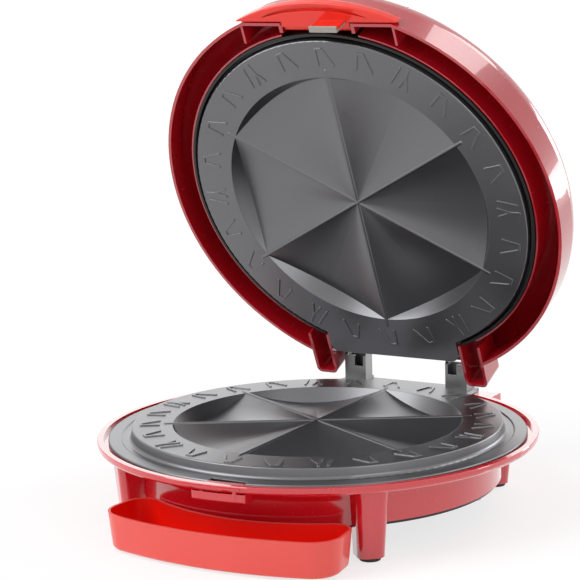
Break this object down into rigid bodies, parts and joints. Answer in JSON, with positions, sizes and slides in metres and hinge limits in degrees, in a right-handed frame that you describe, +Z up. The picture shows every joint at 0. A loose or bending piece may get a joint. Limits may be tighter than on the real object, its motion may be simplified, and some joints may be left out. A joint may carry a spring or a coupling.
{
  "type": "quesadilla maker",
  "caption": "Round countertop quesadilla maker with a hinged domed lid, wedge-pocket cooking plates, a latch handle, four short legs and a curved drip tray at the front.",
  "frame": {"origin": "on the counter under the middle of the whole open maker, 6 mm in front of the centre of the round base", "axes": "+Z up out of the counter, -Y towards the front where the latch and the drip tray are, +Y towards the hinge, +X to the right seen from the front"},
  "size_m": [0.3512, 0.3717, 0.4053],
  "materials": {
    "housing_red": "gloss",
    "grip_red": "gloss",
    "plate_coating": "satin non-stick coating",
    "black_plastic": "satin",
    "rubber": "matte",
    "steel": "satin",
    "bracket_steel": "dark satin",
    "reflector_aluminium": "satin",
    "element_steel": "dull",
    "ceramic": "matte",
    "hook_plastic": "satin"
  },
  "bodies": {
    "base": {"base_housing": "housing_red", "base_bottom_cover": "black_plastic", "bottom_cover_screws": "steel", "rubber_feet": "rubber", "front_bar": "housing_red", "lower_plate": "plate_coating", "lower_heating_element": "element_steel", "lower_element_clamps": "steel", "lower_element_insulators": "ceramic", "lower_plate_posts": "steel", "lower_reflector": "reflector_aluminium", "reflector_screws": "steel", "lower_thermostat": "ceramic", "thermal_fuse": "ceramic", "terminal_block": "ceramic", "cord_gland": "rubber", "hinge_bracket_right": "bracket_steel", "hinge_bracket_left": "bracket_steel", "hinge_bracket_screws": "steel"},
    "hinge_slide": {"hinge_pins": "steel", "hinge_pin_clips": "steel"},
    "lid": {"lid_housing": "housing_red", "lid_inner_ring": "black_plastic", "inner_ring_screws": "steel", "upper_plate": "plate_coating", "hinge_arms": "bracket_steel", "hinge_arm_screws": "steel", "upper_plate_posts": "steel", "upper_plate_screws": "steel", "upper_heating_element": "element_steel", "upper_element_clamps": "steel", "upper_element_insulators": "ceramic", "upper_reflector": "reflector_aluminium", "upper_thermostat": "ceramic", "latch_pin": "steel", "latch_spring": "steel"},
    "latch": {"latch_handle": "grip_red", "latch_hook": "hook_plastic"},
    "tray": {"drip_tray": "grip_red"}
  },
  "joints": [
    {"name": "hinge_float", "type": "slide", "parent": "base", "child": "hinge_slide", "axis": [0, 0, 1], "range_m": [0, 0.005]},
    {"name": "lid_hinge", "type": "hinge", "parent": "hinge_slide", "child": "lid", "pos_m": [0, 0.1675, 0.0955], "axis": [1, 0, 0], "range_deg": [-34, 66]},
    {"name": "latch_pivot", "type": "hinge", "parent": "lid", "child": "latch", "pos_m": [0, 0.02425, 0.38036], "axis": [1, 0, 0], "range_deg": [0, 6], "stiffness_Nm_per_rad": 0.6, "springref_deg": -8.59},
    {"name": "tray_slide", "type": "slide", "parent": "base", "child": "tray", "axis": [0, -1, 0], "range_m": [0, 0.04]}
  ]
}
